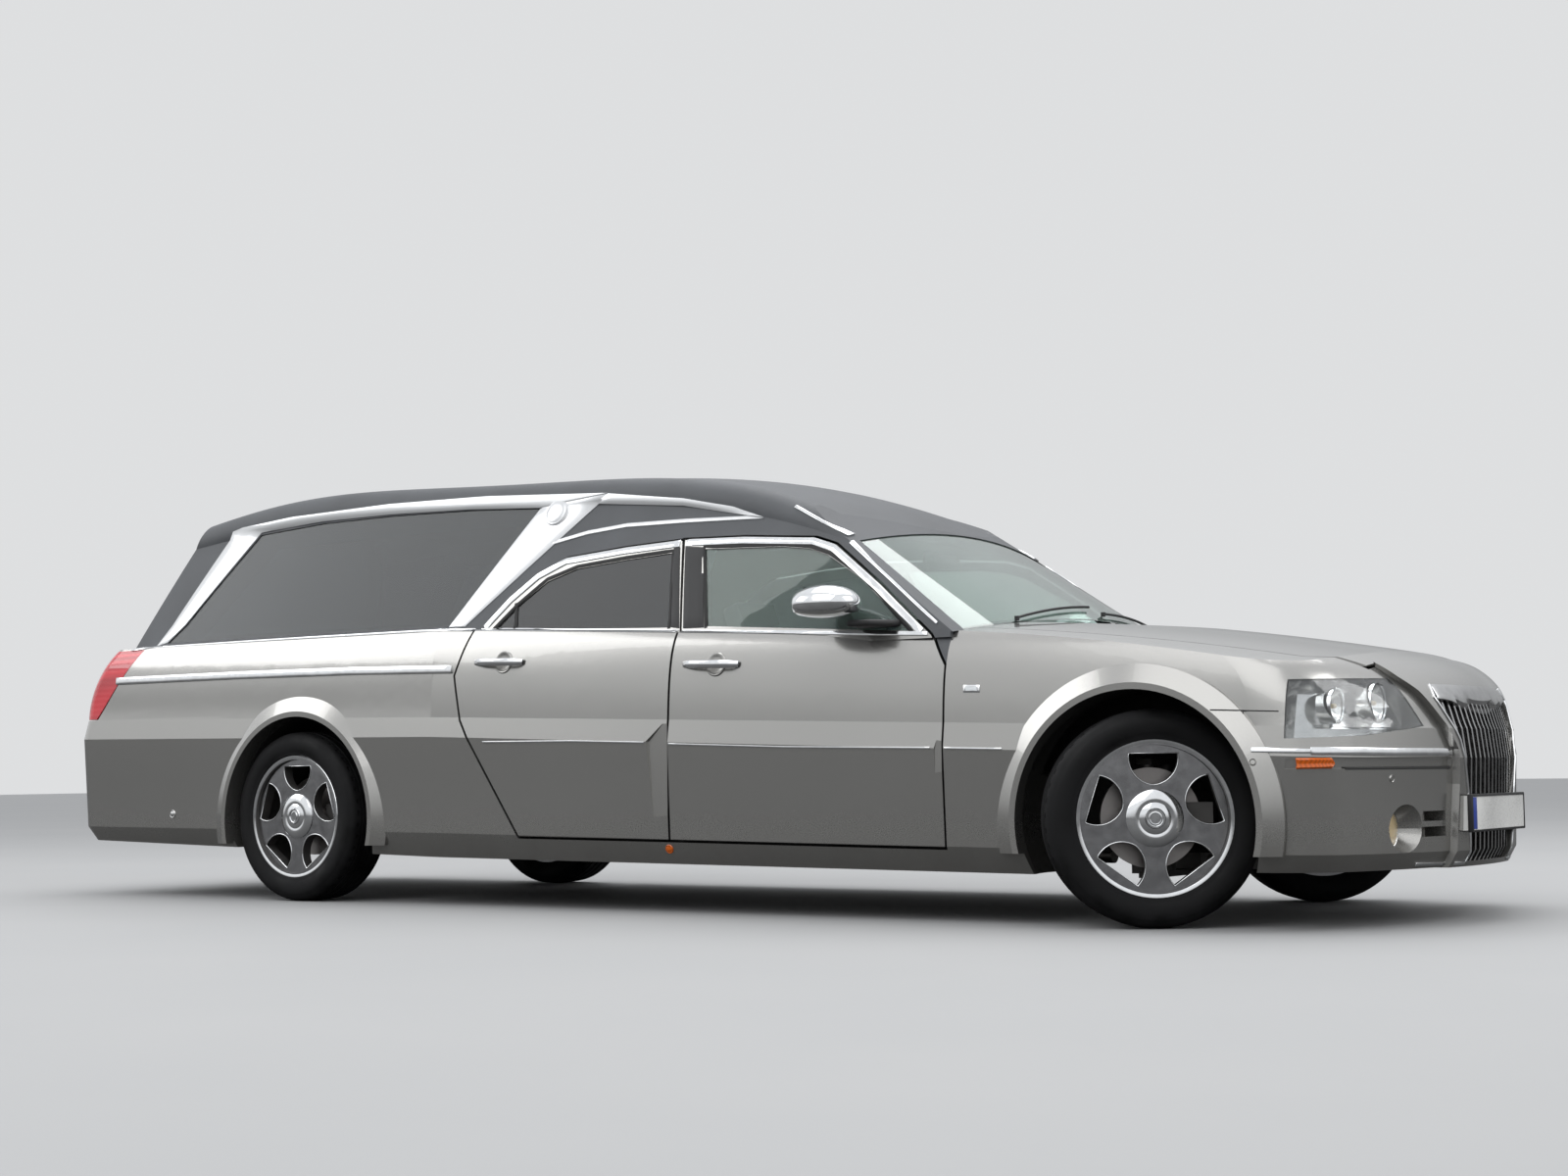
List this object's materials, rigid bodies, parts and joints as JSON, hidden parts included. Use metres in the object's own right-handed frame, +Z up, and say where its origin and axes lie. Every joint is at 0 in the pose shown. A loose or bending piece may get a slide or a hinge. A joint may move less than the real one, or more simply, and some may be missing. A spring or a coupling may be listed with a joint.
{
  "type": "hearse",
  "caption": "Long four-door hearse on a stretched saloon body, with opening doors, bonnet and tailgate, steered front wheels, turning wheels, cabin and glazed load space.",
  "frame": {"origin": "on the ground below the middle of the car's length and width", "axes": "+X forward along the car, +Y to the car's left, +Z up"},
  "size_m": [6.32, 2.1466, 1.8067],
  "materials": {
    "body_paint": "metallic",
    "cabin_glass": "tinted",
    "cast": "rough",
    "dark_chrome": "polished",
    "dark_plastic": "grained",
    "deck_wood": "varnished",
    "lamp_clear": "clear",
    "lamp_red": "gloss",
    "load_glass": "tinted",
    "pipe_steel": "satin",
    "plate_white": "gloss",
    "roof_cover": "grained",
    "trim_dark": "grained",
    "tyre_rubber": "matt",
    "underseal": "matt",
    "wheel_alloy": "satin"
  },
  "bodies": {
    "body": {"cowl": "dark_plastic", "dashboard": "trim_dark", "engine_block": "cast", "exhaust": "pipe_steel", "fog_lamps": "lamp_clear", "front_bumper": "body_paint", "front_seats": "trim_dark", "front_suspension": "cast", "grille": "dark_chrome", "headlamp_units": "dark_chrome", "headlamps": "lamp_clear", "load_bay_glass": "load_glass", "load_deck": "deck_wood", "nose_panel": "body_paint", "number_plates": "plate_white", "rear_axle": "cast", "rear_bumper": "body_paint", "rear_seat": "trim_dark", "roof": "roof_cover", "sides": "body_paint", "steering_wheel": "trim_dark", "tail_lamps": "lamp_red", "underbody": "underseal", "windscreen": "cabin_glass", "wings": "body_paint", "wipers": "dark_plastic"},
    "door_front_right": {"door_front_right_panel": "body_paint", "door_front_right_glass": "cabin_glass"},
    "door_front_left": {"door_front_left_panel": "body_paint", "door_front_left_glass": "cabin_glass"},
    "door_rear_right": {"door_rear_right_panel": "body_paint", "door_rear_right_glass": "cabin_glass"},
    "door_rear_left": {"door_rear_left_panel": "body_paint", "door_rear_left_glass": "cabin_glass"},
    "bonnet_lid": {"bonnet": "body_paint"},
    "tailgate_lid": {"tailgate": "body_paint", "tailgate_glass": "load_glass"},
    "steer_right": {"knuckle_right": "cast"},
    "steer_left": {"knuckle_left": "cast"},
    "wheel_front_right": {"rim_front_right": "wheel_alloy", "tyre_front_right": "tyre_rubber"},
    "wheel_front_left": {"rim_front_left": "wheel_alloy", "tyre_front_left": "tyre_rubber"},
    "wheel_rear_right": {"rim_rear_right": "wheel_alloy", "tyre_rear_right": "tyre_rubber"},
    "wheel_rear_left": {"rim_rear_left": "wheel_alloy", "tyre_rear_left": "tyre_rubber"}
  },
  "joints": [
    {"name": "door_front_right_hinge", "type": "hinge", "parent": "body", "child": "door_front_right", "pos_m": [1.56, -0.942, 0.65], "axis": [0, 0, 1], "range_deg": [0, 65]},
    {"name": "door_front_left_hinge", "type": "hinge", "parent": "body", "child": "door_front_left", "pos_m": [1.56, 0.942, 0.65], "axis": [0, 0, -1], "range_deg": [0, 65]},
    {"name": "door_rear_right_hinge", "type": "hinge", "parent": "body", "child": "door_rear_right", "pos_m": [0.364, -0.942, 0.65], "axis": [0, 0, 1], "range_deg": [0, 65]},
    {"name": "door_rear_left_hinge", "type": "hinge", "parent": "body", "child": "door_rear_left", "pos_m": [0.364, 0.942, 0.65], "axis": [0, 0, -1], "range_deg": [0, 65]},
    {"name": "bonnet_hinge", "type": "hinge", "parent": "body", "child": "bonnet_lid", "pos_m": [1.586, 0, 1.05], "axis": [0, -1, 0], "range_deg": [0, 55]},
    {"name": "tailgate_hinge", "type": "hinge", "parent": "body", "child": "tailgate_lid", "pos_m": [-2.645, 0, 1.708], "axis": [0, 1, 0], "range_deg": [0, 80]},
    {"name": "steer_right_kingpin", "type": "hinge", "parent": "body", "child": "steer_right", "pos_m": [2.23, -0.7315, 0.357], "axis": [0, 0, 1], "range_deg": [-72.3, 3.7]},
    {"name": "steer_left_kingpin", "type": "hinge", "parent": "body", "child": "steer_left", "pos_m": [2.23, 0.7315, 0.357], "axis": [0, 0, 1], "range_deg": [-72.3, 3.7]},
    {"name": "wheel_front_right_spin", "type": "hinge", "parent": "steer_right", "child": "wheel_front_right", "pos_m": [2.26945, -0.78933, 0.357], "axis": [-0.5635, 0.8261, 0], "continuous": true},
    {"name": "wheel_front_left_spin", "type": "hinge", "parent": "steer_left", "child": "wheel_front_left", "pos_m": [2.19055, 0.78933, 0.357], "axis": [-0.5635, 0.8261, 0], "continuous": true},
    {"name": "wheel_rear_right_spin", "type": "hinge", "parent": "body", "child": "wheel_rear_right", "pos_m": [-1.67, -0.8015, 0.357], "axis": [0, 1, 0], "continuous": true},
    {"name": "wheel_rear_left_spin", "type": "hinge", "parent": "body", "child": "wheel_rear_left", "pos_m": [-1.67, 0.8015, 0.357], "axis": [0, 1, 0], "continuous": true}
  ],
  "couplings": [
    {"joint": "steer_left_kingpin", "follows": "steer_right_kingpin", "ratio": 1}
  ]
}
